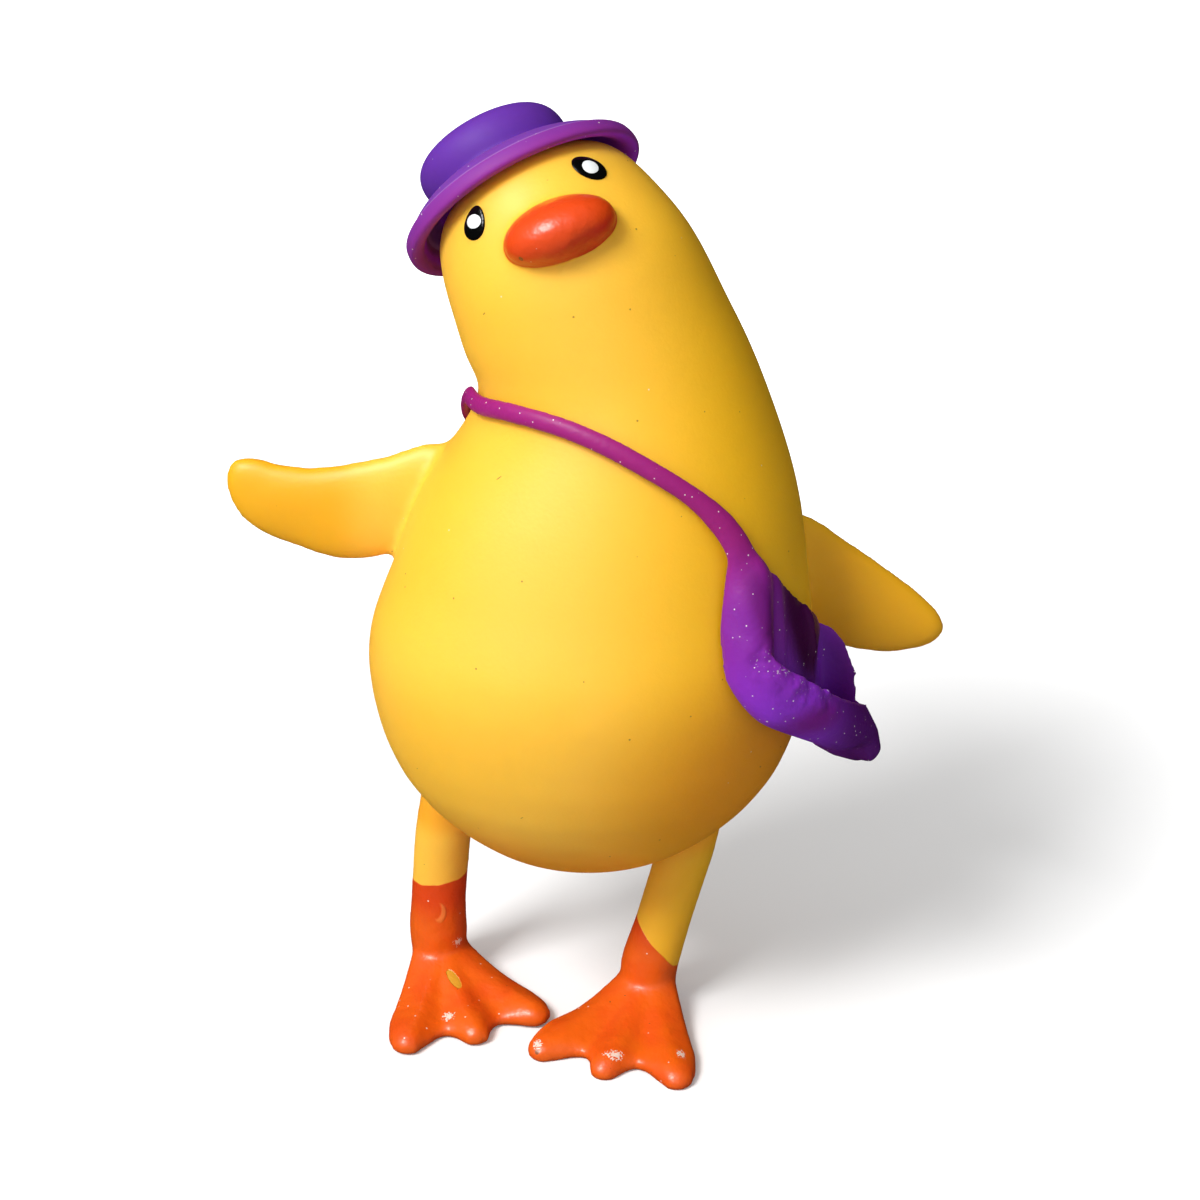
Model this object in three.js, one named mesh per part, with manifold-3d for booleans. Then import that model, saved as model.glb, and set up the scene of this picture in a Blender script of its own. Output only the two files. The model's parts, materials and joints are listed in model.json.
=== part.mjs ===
// A squeezable rubber duck in a bowler hat, with a shoulder bag on a strap.
// It stands on its two webbed feet and faces -Y, so the duck's own left side is +X.
// Lengths are millimetres, angles are degrees, and z = 0 is the surface it stands on.
import * as THREE from 'three';
import { mergeVertices } from 'three/addons/utils/BufferGeometryUtils.js';
import Module from 'manifold-3d';

const wasm = await Module();
wasm.setup();

// Driving dimensions of the body: rings of one leaning loft, from under the belly to the top of the head.
const underside = { x: -1.4, y: 1, z: 24.2, width: 0, depth: 0 };
const belly = { x: -1.3, y: -1, z: 54.5, width: 54, depth: 46 };
const chest = { x: 1.2, y: 0, z: 76, width: 44, depth: 38, lean: 2 };
const neck = { x: 2.2, y: 1, z: 88, width: 33, depth: 31, lean: 7, tilt: 4 };
const cheeks = { x: -3.1, y: 2.4, z: 100.5, width: 29.5, depth: 29.6, lean: 21, tilt: 18 };
const crown = { x: -7.9, y: 6.9, z: 107.6, width: 23.8, depth: 24.6, lean: 32, tilt: 33 };
const crownRise = 3.4;

// Driving dimensions of the wings: the duck's own right wing is on the -X side.
// A station is its share of the way from the root, in the body, to the tip, its middle's height and its
// own height from edge to edge.
const rightWing = {
  root: [-15, 4], tip: [-44.4, 5], thickness: 4.8,
  stations: [
    [0, 72.5, 0], [0.02, 72.4, 12], [0.16, 71.6, 14.5], [0.32, 70.8, 12.8], [0.48, 70.2, 12.2],
    [0.64, 70.3, 11.5], [0.8, 71.1, 10.2], [0.9, 72.4, 8.2], [0.97, 74.2, 4.8], [1, 75.4, 0],
  ],
};
const leftWing = {
  root: [17, 6], tip: [43.2, 8], thickness: 4.8,
  stations: [
    [0, 62.5, 0], [0.02, 62.4, 14], [0.2, 60.6, 17], [0.38, 58.6, 14.6], [0.54, 56.6, 12.6],
    [0.65, 55.1, 11.5], [0.78, 53.7, 9.4], [0.9, 52.8, 6.4], [0.97, 52.6, 3.6], [1, 52.7, 0],
  ],
};

// Driving dimensions of the legs and feet. A toe's length runs from the ankle's axis to its tip.
// A bend of 1 is a straight leg: above 1 the leg leans more the nearer it gets to the hip.
const leg = { width: 7, hipHeight: 44, ankleHeight: 6.5, shinHeight: 13 };
const foot = {
  toeLength: 19.8, middleToe: 18.4, toeWidth: 4.8, toeSpread: 29.5, flank: 3.4, webReach: 15.2, webDip: 0.7,
  heel: 3.6, web: 1.7, webEdge: 13, ankleTop: 7.2, ridge: 1.3,
};
const rightLeg = { ankle: [-21.6, 9.6], hip: [-17.5, 4], bend: 1.6, turnIn: 19.5 };
const leftLeg = { ankle: [6.5, 2.4], hip: [16.6, 4], bend: 1, turnIn: -20 };

// Driving dimensions of the beak, a smooth bulge of the face.
const beak = { height: 108.9, angle: -79, length: 13, thickness: 7.2, reach: 5.2, roll: 24, droop: 25 };

// Driving dimensions of the hat, measured along its own axis from the lower edge of the brim. The brim's
// reach and the band's inset are measured from the head's ring at that edge.
const hat = {
  brimReach: 2.9, brimEdge: 1.7, brimRise: 4.4, bandInset: 3.4, crownBulge: 0.5, height: 11,
  aside: -0.7, slant: 7,
};

// Driving dimensions of the strap and bag, which are one moulding round the body.
// The bag's front and back are angles round the body. Its lip, floor, gusset and end are shares of its
// height or of its length, and a rib is its place along the bag, how proud it is and its half width.
const strap = { width: 2.4, thickness: 1.5, endWidth: 5.4, endThickness: 2.8, tail: 0.3 };
const bag = {
  front: -54, back: -4, bulge: 4, frontTop: 76, frontBottom: 55.6, backTop: 56.5, backBottom: 41.4,
  frontDepth: 3.8, backDepth: 9.8, wall: 1.2, lip: 0.56, lipDip: 0.05, floor: 0.86,
  gusset: 0.17, end: 0.93, standOff: 1.4,
};
const bagRibs = [{ place: 0.33, proud: 0.8, half: 0.035 }, { place: 0.62, proud: 0.8, half: 0.02 }];
const clearance = 0.35;

// The strap's route from inside the bag round the neck: angle round the body, height and gap behind it.
const strapRoute = [
  [-50, 63, 0.3], [-50, 68, 0.3], [-51.5, 72.6, 0.3], [-57, 76.8, 0], [-66, 80.3, 0], [-79, 83.4, 0],
  [-95, 86.1, 0], [-113, 87.7, 0], [-134, 88, 0], [-155, 87, 0], [-182, 85.4, 0], [-215, 79, 0],
  [-255, 68, 0], [-295, 57, 0], [-330, 49.5, 0.3], [-350, 47.6, 1.2], [-360, 47, 2.2], [-370, 46.8, 3],
];

// Facets: steps from each ring of a loft to the next, and round each ring.
const bodySteps = 3;
const bodyAround = 48;
const limbSteps = 2;
const limbAround = 20;
const beakAround = 28;
const beakSteps = 16;
const hatAround = 48;
const crownSteps = 16;

const rad = THREE.MathUtils.degToRad;
const { lerp, smoothstep } = THREE.MathUtils;
const X = new THREE.Vector3(1, 0, 0);
const Y = new THREE.Vector3(0, 1, 0);
const Z = new THREE.Vector3(0, 0, 1);

// A ring of a loft: its centre, half its width and depth, and how far its axis leans right and tilts back.
function ring(x, y, z, wide, deep, lean = 0, tilt = 0) {
  return [x, y, z, wide, deep, lean, tilt];
}

// The ring past the end of a loft. Past a pole it is the mirrored neighbour, so that the end closes round.
function ringPast(end, neighbour) {
  if (end[3] === 0) return neighbour.map((value, k) => (k === 3 || k === 4 ? -value : value));
  return end.map((value, k) => 2 * value - neighbour[k]);
}

// The ring at place t along a loft, where whole numbers are the given rings (a Catmull-Rom curve).
function ringAt(rings, t) {
  const last = rings.length - 1;
  const i = Math.min(Math.max(Math.floor(t), 0), last - 1);
  const f = t - i;
  const before = i > 0 ? rings[i - 1] : ringPast(rings[0], rings[1]);
  const after = i + 2 <= last ? rings[i + 2] : ringPast(rings[last], rings[last - 1]);
  return rings[i].map((p1, k) => {
    const [p0, p2, p3] = [before[k], rings[i + 1][k], after[k]];
    const slope1 = (p2 - p0) / 2;
    const slope2 = (p3 - p1) / 2;
    const bend = 3 * (p2 - p1) - 2 * slope1 - slope2;
    const twist = 2 * (p1 - p2) + slope1 + slope2;
    return p1 + f * (slope1 + f * (bend + f * twist));
  });
}

// The point of a loft's surface at place t along it and an angle round it, from +X through +Y.
function pointOn(rings, t, angle) {
  const [x, y, z, wide, deep, lean, tilt] = ringAt(rings, t);
  const point = new THREE.Vector3(wide * Math.cos(angle), deep * Math.sin(angle), 0);
  point.applyAxisAngle(X, -rad(tilt)).applyAxisAngle(Y, -rad(lean));
  return point.add(new THREE.Vector3(x, y, z));
}

// The outward direction of a loft's surface at the same place.
function normalOn(rings, t, angle) {
  const step = 0.01;
  const along = pointOn(rings, t + step, angle).sub(pointOn(rings, t - step, angle));
  const round = pointOn(rings, t, angle + step).sub(pointOn(rings, t, angle - step));
  return round.cross(along).normalize();
}

// A closed mesh from loops of points, with a fan to the middle point at each end.
function skin(loops, firstPoint, lastPoint) {
  const count = loops[0].length;
  const corners = [firstPoint, ...loops.flat(), lastPoint];
  const end = corners.length - 1;
  const index = [];
  for (let j = 0; j < count; j += 1) {
    const next = (j + 1) % count;
    index.push(0, 1 + next, 1 + j);
    for (let i = 0; i + 1 < loops.length; i += 1) {
      const low = 1 + i * count;
      const high = low + count;
      index.push(low + j, low + next, high + next, low + j, high + next, high + j);
    }
    const top = 1 + (loops.length - 1) * count;
    index.push(top + j, top + next, end);
  }
  return solid(corners, index);
}

function solid(corners, index) {
  const vertProperties = new Float32Array(corners.flatMap((p) => [p.x, p.y, p.z]));
  return new wasm.Manifold(new wasm.Mesh({ numProp: 3, vertProperties, triVerts: new Uint32Array(index) }));
}

function solidOf(geometry) {
  geometry.deleteAttribute('normal');
  geometry.deleteAttribute('uv');
  const merged = mergeVertices(geometry, 1e-4);
  const vertProperties = new Float32Array(merged.attributes.position.array);
  const triVerts = new Uint32Array(merged.index.array);
  return new wasm.Manifold(new wasm.Mesh({ numProp: 3, vertProperties, triVerts }));
}

// The direction of a loft's axis at a ring.
function axisOf({ lean = 0, tilt = 0 }) {
  return Z.clone().applyAxisAngle(X, -rad(tilt)).applyAxisAngle(Y, -rad(lean));
}

// A lofted solid with some steps from each ring to the next. Growth moves its surface outwards.
function loft(rings, steps, around, growth = 0) {
  const last = rings.length - 1;
  const loops = [];
  for (let i = 1; i < last * steps; i += 1) {
    const t = i / steps;
    const loop = [];
    for (let j = 0; j < around; j += 1) {
      const angle = (2 * Math.PI * j) / around;
      loop.push(pointOn(rings, t, angle).addScaledVector(normalOn(rings, t, angle), growth));
    }
    loops.push(loop);
  }
  const pole = (t, reach) => {
    const [x, y, z, , , lean, tilt] = rings[t];
    return new THREE.Vector3(x, y, z).addScaledVector(axisOf({ lean, tilt }), reach);
  };
  return skin(loops, pole(0, -growth), pole(last, growth));
}

// A place between two places of the body, with a fullness of its own.
function between(low, high, share, fullness = 1) {
  const mix = (key) => lerp(low[key] ?? 0, high[key] ?? 0, share);
  return {
    x: mix('x'), y: mix('y'), z: mix('z'), lean: mix('lean'), tilt: mix('tilt'),
    width: mix('width') * fullness, depth: mix('depth') * fullness,
  };
}

// The belly's lower half is a quarter turn of an ellipse, from the underside to its widest ring.
function underBelly(turn, fullness) {
  const share = 1 - Math.cos(rad(turn));
  return between(underside, belly, share, (fullness * Math.sin(rad(turn))) / share);
}

// The head's flat top, hidden in the hat, is a low dome on the crown's ring.
function headTop(girth, rise) {
  const centre = new THREE.Vector3(crown.x, crown.y, crown.z);
  const { x, y, z } = centre.addScaledVector(axisOf(crown), crownRise * rise);
  return { ...crown, x, y, z, width: crown.width * girth, depth: crown.depth * girth };
}

const bodyRings = [
  underside, underBelly(30, 1.02), underBelly(60, 1.02), belly, between(belly, chest, 0.53, 1.02), chest,
  neck, between(neck, cheeks, 0.5, 1), cheeks, between(cheeks, crown, 0.52, 1.03), crown,
  headTop(0.8, 0.62), headTop(0.45, 0.94), headTop(0, 1),
].map(({ x, y, z, width, depth, lean = 0, tilt = 0 }) => ring(x, y, z, width / 2, depth / 2, lean, tilt));

// The place on the body at an angle round it and a given height.
function bodyPlace(angle, height) {
  let low = 0.5;
  let high = bodyRings.length - 4;
  for (let i = 0; i < 40; i += 1) {
    const t = (low + high) / 2;
    if (pointOn(bodyRings, t, angle).z < height) low = t;
    else high = t;
  }
  const t = (low + high) / 2;
  return { point: pointOn(bodyRings, t, angle), normal: normalOn(bodyRings, t, angle) };
}

// A flat wing through its stations, from its root, inside the body, to its rounded tip.
function wing({ root, tip, thickness, stations }) {
  const outward = Math.sign(tip[0] - root[0]);
  const run = Math.abs(tip[0] - root[0]);
  const tallest = Math.max(...stations.map(([, , tall]) => tall));
  const rings = stations.map(([share, z, tall], i) => {
    const before = stations[Math.max(i - 1, 0)];
    const after = stations[Math.min(i + 1, stations.length - 1)];
    const slope = Math.atan2(after[1] - before[1], run * (after[0] - before[0]));
    const lean = -outward * (90 - THREE.MathUtils.radToDeg(slope));
    const half = (thickness / 2) * Math.sqrt(tall / tallest);
    return ring(lerp(root[0], tip[0], share), lerp(root[1], tip[1], share), z, tall / 2, half, lean);
  });
  return loft(rings, limbSteps, limbAround);
}

// A leg from its flared ankle, low in the foot, up to the hip inside the belly.
function legOf({ ankle, hip, bend }) {
  const half = leg.width / 2;
  const girths = [
    [foot.web * 0.5, 0], [foot.web * 0.6, 0.9], [leg.ankleHeight / 2, 1], [leg.ankleHeight, 1.04],
    [leg.shinHeight, 0.96], [lerp(leg.shinHeight, leg.hipHeight, 0.5), 1], [leg.hipHeight - 3, 1.05],
    [leg.hipHeight, 0],
  ];
  return loft(girths.map(([z, girth]) => {
    const share = (Math.max(0, z - leg.ankleHeight) / (leg.hipHeight - leg.ankleHeight)) ** bend;
    return ring(lerp(ankle[0], hip[0], share), lerp(ankle[1], hip[1], share), z, half * girth, half * girth);
  }), limbSteps, limbAround);
}

// How far the foot's outline reaches at an angle from its middle toe: round-ended toes joined by webs.
function footReach(angle) {
  const half = foot.toeWidth / 2;
  let reach = foot.heel;
  for (const toe of [-foot.toeSpread, 0, foot.toeSpread]) {
    const off = Math.abs(angle - rad(toe));
    const middle = (toe === 0 ? foot.middleToe : foot.toeLength) - half;
    const chord = half ** 2 - (middle * Math.sin(off)) ** 2;
    if (chord > 0 && off < 1) reach = Math.max(reach, middle * Math.cos(off) + Math.sqrt(chord));
    else if (off < Math.PI / 2) reach = Math.max(reach, Math.min(foot.flank / Math.sin(off), middle));
  }
  const share = Math.abs(angle) / rad(foot.toeSpread);
  if (share < 1) reach = Math.max(reach, foot.webReach - foot.webDip * Math.sin(Math.PI * share));
  return reach;
}

// The height of the foot's top at a distance and angle: it falls from the ankle to the webs, and a soft
// ridge that grows out of the ankle runs along each toe.
function footTop(distance, angle) {
  const fall = Math.min(distance / foot.webEdge, 1);
  let ridge = 0;
  for (const toe of [-foot.toeSpread, 0, foot.toeSpread]) {
    const off = Math.min(Math.abs(angle - rad(toe)), Math.PI / 2);
    const aside = (distance * Math.sin(off)) / (foot.toeWidth / 2);
    ridge = Math.max(ridge, Math.exp(-(aside ** 2)));
  }
  const slope = lerp(foot.ankleTop, foot.web, Math.sin((fall * Math.PI) / 2));
  return slope + foot.ridge * ridge * smoothstep(fall, 0.1, 0.9);
}

// A foot is drawn in loops: a flat sole, an upright edge and then its top, from the edge in to the ankle.
function footOf({ ankle, turnIn }) {
  const around = 84;
  const shares = [1, 0.985, 0.94, 0.87, 0.76, 0.62, 0.46, 0.3, 0.16];
  const edge = 0.16;
  const place = (share, angle, z) => {
    const reach = footReach(angle) * share;
    const heading = angle + rad(turnIn) - Math.PI / 2;
    return new THREE.Vector3(ankle[0] + reach * Math.cos(heading), ankle[1] + reach * Math.sin(heading), z);
  };
  const angles = [];
  for (let j = 0; j < around; j += 1) angles.push((2 * Math.PI * j) / around - Math.PI);
  const sole = angles.map((angle) => place(0.97, angle, 0));
  const soleEdge = angles.map((angle) => place(1, angle, foot.web * 0.35));
  const loops = [sole, soleEdge];
  for (const share of shares) {
    const rounding = Math.sqrt(1 - Math.max(0, (share - 1 + edge) / edge) ** 2);
    loops.push(angles.map((angle) => {
      const top = footTop(footReach(angle) * share, angle);
      return place(share, angle, lerp(foot.web * 0.6, top, rounding));
    }));
  }
  return skin(loops, new THREE.Vector3(...ankle, 0), new THREE.Vector3(...ankle, footTop(0, 0)));
}

// The beak is a ball, stretched wide, that stands out of the face and droops.
function beakOf() {
  const seat = bodyPlace(rad(beak.angle), beak.height);
  const geometry = new THREE.SphereGeometry(1, beakAround, beakSteps);
  geometry.scale(beak.length / 2, beak.thickness / 2, beak.reach);
  geometry.rotateX(rad(beak.droop));
  const facing = new THREE.Matrix4().lookAt(seat.normal, new THREE.Vector3(), Z);
  const roll = new THREE.Matrix4().makeRotationAxis(Z, rad(beak.roll));
  geometry.applyMatrix4(roll).applyMatrix4(facing).translate(...seat.point.toArray());
  return solidOf(geometry);
}

function duckBody() {
  let all = loft(bodyRings, bodySteps, bodyAround);
  for (const side of [rightWing, leftWing]) all = all.add(wing(side));
  for (const side of [rightLeg, leftLeg]) all = all.add(legOf(side)).add(footOf(side));
  return all.add(beakOf());
}

// The hat is turned about the head's own axis and hollowed by the head it sits on.
function hatOf() {
  const head = crown.width / 2;
  const [brim, band] = [head + hat.brimReach, head - hat.bandInset];
  const dome = band + hat.crownBulge;
  const edge = hat.brimEdge;
  // The crown's side, as radius and share of the height from the brim to the top.
  const crownSide = [
    [band, 0], [lerp(band, dome, 0.8), 0.2], [dome, 0.42], [dome * 0.9, 0.76], [dome * 0.6, 0.96],
  ];
  const side = new THREE.SplineCurve([
    ...crownSide.map(([radius, share]) => new THREE.Vector2(radius, lerp(hat.brimRise, hat.height, share))),
    new THREE.Vector2(0, hat.height),
  ]);
  // The brim's section, as radius and height: hollow underside, rounded edge and sloping top.
  const brimSection = [
    [0, edge * 1.4], [brim * 0.8, edge], [brim - edge * 0.94, edge * 0.18], [brim - edge * 0.4, 0],
    [brim - edge * 0.06, edge * 0.24], [brim, edge * 0.6], [brim - edge * 0.24, edge],
    [brim * 0.86, lerp(edge, hat.brimRise, 0.5)], [brim * 0.72, lerp(edge, hat.brimRise, 0.89)],
  ];
  const brimLine = brimSection.map(([radius, height]) => new THREE.Vector2(radius, height));
  const outline = [...brimLine, ...side.getPoints(crownSteps)];
  outline.at(-1).x = 0;
  const geometry = new THREE.LatheGeometry(outline, hatAround);
  geometry.rotateX(Math.PI / 2);
  geometry.applyMatrix4(new THREE.Matrix4().makeShear(0, 0, 0, 0, -Math.tan(rad(hat.slant)), 0));
  geometry.translate(hat.aside, 0, 0);
  geometry.rotateX(-rad(crown.tilt)).rotateY(-rad(crown.lean));
  geometry.translate(crown.x, crown.y, crown.z);
  return solidOf(geometry).subtract(loft(bodyRings, bodySteps, bodyAround, clearance));
}

// The strap runs from inside the bag's front end, up round the neck and back to the bag's rear end.
function strapOf() {
  const steps = 4;
  const section = 10;
  const count = (strapRoute.length - 1) * steps;
  const stops = [];
  for (let i = 0; i <= count; i += 1) {
    const place = i / steps;
    const [angle, height, gap] = ringAt(strapRoute, place);
    const ending = 1 - smoothstep(place, 0.5, 4.5);
    const tail = lerp(strap.tail, 1, smoothstep(place, 0, 3));
    const width = lerp(strap.width, strap.endWidth, ending);
    const thickness = lerp(strap.thickness, strap.endThickness, ending) * tail;
    const { point, normal } = bodyPlace(rad(angle), height);
    const centre = point.clone().addScaledVector(normal, clearance + gap + thickness / 2);
    stops.push({ centre, normal, width, thickness });
  }
  const loops = stops.map(({ centre, normal, width, thickness }, i) => {
    const before = stops[Math.max(i - 1, 0)].centre;
    const after = stops[Math.min(i + 1, count)].centre;
    const across = normal.clone().cross(after.clone().sub(before)).normalize();
    const loop = [];
    for (let j = 0; j < section; j += 1) {
      const turn = (2 * Math.PI * j) / section;
      const corner = centre.clone().addScaledVector(across, (width / 2) * Math.cos(turn));
      loop.push(corner.addScaledVector(normal, (thickness / 2) * Math.sin(turn)));
    }
    return loop;
  });
  return skin(loops, stops[0].centre, stops[count].centre);
}

// The bag is a loft along the flank. Each section is drawn by its share of the height and its depth
// from the body.
function bagOf() {
  const steps = 34;
  const sections = [];
  for (let i = 0; i <= steps; i += 1) {
    const u = i / steps;
    const nearEnd = Math.min(u / bag.gusset, (1 - u) / (1 - bag.end), 1);
    const round = Math.sqrt(Math.max(0.05, 1 - (1 - nearEnd) ** 2));
    const depth = lerp(bag.frontDepth, bag.backDepth, u) * round;
    const pastGusset = smoothstep(u, bag.gusset * 0.8, bag.gusset + 0.14);
    const open = pastGusset * (1 - smoothstep(u, bag.end, 1 - 0.01));
    const ribs = bagRibs.map(({ place, proud, half }) => proud * Math.exp(-(((u - place) / half) ** 2)));
    const rib = ribs.reduce((sum, one) => sum + one);
    const back = lerp(depth * 0.88, lerp(bag.wall, bag.wall * 0.5, u) + rib, open);
    const lip = bag.lip + bag.lipDip * Math.sin(Math.PI * u);
    const halfway = lerp(lip, bag.floor, 0.6);
    const lipDepth = depth * lerp(0.98, 0.72, u);
    const inside = lerp(depth * 0.91, Math.max(lipDepth - bag.wall, back + 0.3), open);
    const rim = lerp(0.02, bag.wall / 2, open);
    // How far down the pocket's points lie. In the solid gusset they close up into its front.
    const pocket = (closed, opened) => lerp(lip - closed, opened, open);
    // Down the side at the body, round the bottom, up the front wall, into the pocket and up its back.
    const outline = [
      [0.06, 0], [0.3, 0], [0.6, 0], [0.9, 0], [0.97, depth * 0.12], [1, depth * 0.42],
      [0.985, depth * 0.74], [0.93, depth * 0.93], [0.84, depth], [0.72, depth * lerp(1, 0.9, u)],
      [lip + 0.06, lerp(depth, lipDepth, 0.8)], [lip, lipDepth - rim * 0.3],
      [pocket(0.02, lip - 0.02), lipDepth - rim], [pocket(0.04, lip), inside],
      [pocket(0.05, halfway), inside], [pocket(0.06, bag.floor), (back + inside) / 2],
      [pocket(0.07, halfway), back], [lip - 0.08, back], [0.3, back], [0.1, back * 0.85], [0, back * 0.45],
    ];
    const along = lerp(bag.front, bag.back, u);
    const [top, bottom] = [lerp(bag.frontTop, bag.backTop, u), lerp(bag.frontBottom, bag.backBottom, u)];
    const squeeze = lerp(0.55, 1, round);
    sections.push(outline.map(([down, out]) => {
      const share = 0.5 + (down - 0.5) * squeeze;
      const angle = rad(along - bag.bulge * Math.sin(Math.PI * share) * (1 - u) ** 2);
      const { point, normal } = bodyPlace(angle, lerp(top, bottom, share));
      return point.addScaledVector(normal, clearance + bag.standOff * u ** 2 * share + out);
    }).reverse());
  }
  const [front, rear] = [sections[0], sections.at(-1)].map((loop) => {
    return loop.reduce((sum, p) => sum.add(p), new THREE.Vector3()).divideScalar(loop.length);
  });
  return skin(sections, front, rear);
}

function named(name, shape, color, roughness) {
  const { numProp, vertProperties, triVerts } = shape.getMesh();
  const geometry = new THREE.BufferGeometry();
  const position = new Float32Array((vertProperties.length / numProp) * 3);
  for (let i = 0; i < position.length / 3; i += 1) {
    for (let k = 0; k < 3; k += 1) position[3 * i + k] = vertProperties[numProp * i + k];
  }
  geometry.setAttribute('position', new THREE.BufferAttribute(position, 3));
  geometry.setIndex([...triVerts]);
  const mesh = new THREE.Mesh(geometry, new THREE.MeshStandardMaterial({ color, roughness, metalness: 0 }));
  mesh.name = name;
  return mesh;
}

const duck = new THREE.Group();
duck.add(named('duck_body', duckBody(), 0xffc812, 0.42));
duck.add(named('hat', hatOf(), 0x6a2fb4, 0.5));
duck.add(named('shoulder_bag', strapOf().add(bagOf()), 0x7a1f9c, 0.45));

// The origin is the middle of the footprint of the whole object, on the surface it stands on.
const box = new THREE.Box3().setFromObject(duck);
const middle = box.getCenter(new THREE.Vector3());
duck.position.set(-middle.x, -middle.y, -box.min.z);

export default duck;
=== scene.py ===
# %% [markdown]
# A squeezable rubber duck with a hat and a shoulder bag. The body is one soft moulding, dipped in orange
# paint at its feet and brushed with it on the beak. The hat and the bag are softer, slightly see-through
# violet rubber. The CAD model is loaded first, because every piece here has to lie where it says.

# %% Load the frame
import json
import math

import bpy
from mathutils import Matrix, Vector

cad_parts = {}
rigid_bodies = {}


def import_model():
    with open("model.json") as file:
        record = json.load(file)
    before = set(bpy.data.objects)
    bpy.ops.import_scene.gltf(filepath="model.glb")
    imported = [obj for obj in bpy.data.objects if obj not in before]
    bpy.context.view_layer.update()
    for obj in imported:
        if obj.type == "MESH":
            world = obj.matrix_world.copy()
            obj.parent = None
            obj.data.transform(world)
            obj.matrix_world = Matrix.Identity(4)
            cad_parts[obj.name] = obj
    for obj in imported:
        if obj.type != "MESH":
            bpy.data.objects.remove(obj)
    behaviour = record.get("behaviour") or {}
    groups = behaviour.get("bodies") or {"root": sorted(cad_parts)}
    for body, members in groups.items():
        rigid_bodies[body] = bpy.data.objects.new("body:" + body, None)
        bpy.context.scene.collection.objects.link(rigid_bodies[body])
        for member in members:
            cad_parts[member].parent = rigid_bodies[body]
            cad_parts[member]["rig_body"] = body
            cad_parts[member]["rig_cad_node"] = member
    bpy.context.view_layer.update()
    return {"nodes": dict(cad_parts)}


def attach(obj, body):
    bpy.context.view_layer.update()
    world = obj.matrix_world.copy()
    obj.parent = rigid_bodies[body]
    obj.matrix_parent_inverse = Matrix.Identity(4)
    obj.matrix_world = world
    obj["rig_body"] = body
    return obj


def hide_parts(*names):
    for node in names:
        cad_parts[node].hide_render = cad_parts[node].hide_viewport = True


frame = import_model()
mm = 0.001

# %% [markdown]
# The camera comes first, so that each piece can be placed by looking through it. The photograph was taken
# from in front and from 25 degrees above, about 300 mm away. A point that the photograph shows can then
# be carried onto the model: a ray goes from the camera through the pixel until it meets the surface.

# %% Camera
photo_width = 1200
look_at = Vector((1.02, 0.44, 60)) * mm
camera_distance = 300 * mm
camera_rise = math.radians(25)
view_width = 145.4 * mm
sensor = 36
near_clip = 10 * mm

camera_data = bpy.data.cameras.new("photo_camera")
camera = bpy.data.objects.new("photo_camera", camera_data)
bpy.context.scene.collection.objects.link(camera)
bpy.context.scene.camera = camera
backwards = Vector((0, -math.cos(camera_rise), math.sin(camera_rise)))
camera.location = look_at + backwards * camera_distance
camera.rotation_euler = (-backwards).to_track_quat("-Z", "Y").to_euler()
camera_data.sensor_width = sensor
camera_data.lens = sensor * camera_distance / view_width
camera_data.clip_start = near_clip
bpy.context.view_layer.update()
print("lens", round(camera_data.lens, 1))


def photo_ray(x, y):
    """Where a ray through a pixel of the photograph starts, and the way it goes."""
    across = (x / photo_width - 0.5) * view_width
    down = (y / photo_width - 0.5) * view_width
    target = camera.matrix_world @ Vector((across, -down, -camera_distance))
    return camera.location, (target - camera.location).normalized()


def seen_at(piece, x, y):
    """The point of a piece's surface that shows at a pixel of the photograph, and its outward direction."""
    start, way = photo_ray(x, y)
    hit, point, normal, _ = piece.ray_cast(start, way)
    if not hit:
        raise RuntimeError(f"{piece.name} isn't at pixel {x}, {y}")
    return point, normal


# %% [markdown]
# A few small helpers are used by every piece. One makes a copy of a CAD node whose loose triangles are
# merged into one skin, which modifiers can then smooth. One nudges the soft skin where the photograph shows
# a small bulge or hollow. The last closes a piece: it goes with the object's only body, and the CAD nodes
# that it replaces are hidden.

# %% Helpers for pieces
same_point = 0.001 * mm


def only(piece):
    """Makes a piece the only selected object, and the active one."""
    bpy.ops.object.select_all(action="DESELECT")
    piece.select_set(True)
    bpy.context.view_layer.objects.active = piece


def merged_copy(node, name):
    """A copy of a CAD node with its triangles merged into one closed skin."""
    only(frame["nodes"][node])
    bpy.ops.object.duplicate()
    piece = bpy.context.active_object
    piece.name = name
    piece.parent = None
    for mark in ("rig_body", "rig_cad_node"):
        del piece[mark]
    piece.data.materials.clear()
    bpy.ops.object.mode_set(mode="EDIT")
    bpy.ops.mesh.select_all(action="SELECT")
    bpy.ops.mesh.remove_doubles(threshold=same_point)
    bpy.ops.object.mode_set(mode="OBJECT")
    return piece


def apply_modifier(piece, kind, **settings):
    """Adds a modifier with these settings and applies it."""
    only(piece)
    modifier = piece.modifiers.new(kind.title(), kind)
    for key, value in settings.items():
        setattr(modifier, key, value)
    bpy.ops.object.modifier_apply(modifier=modifier.name)


def nudge(piece, pixel, right, up, reach):
    """Moves the skin round the point seen at a pixel, by less with the distance from it. Sizes are in mm."""
    middle, _ = seen_at(piece, *pixel)
    move = camera.matrix_world.to_3x3() @ Vector((right * mm, up * mm, 0))
    for vertex in piece.data.vertices:
        near = max(1 - (vertex.co - middle).length_squared / (reach * mm) ** 2, 0)
        vertex.co += move * near ** 2
    piece.data.update()


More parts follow.
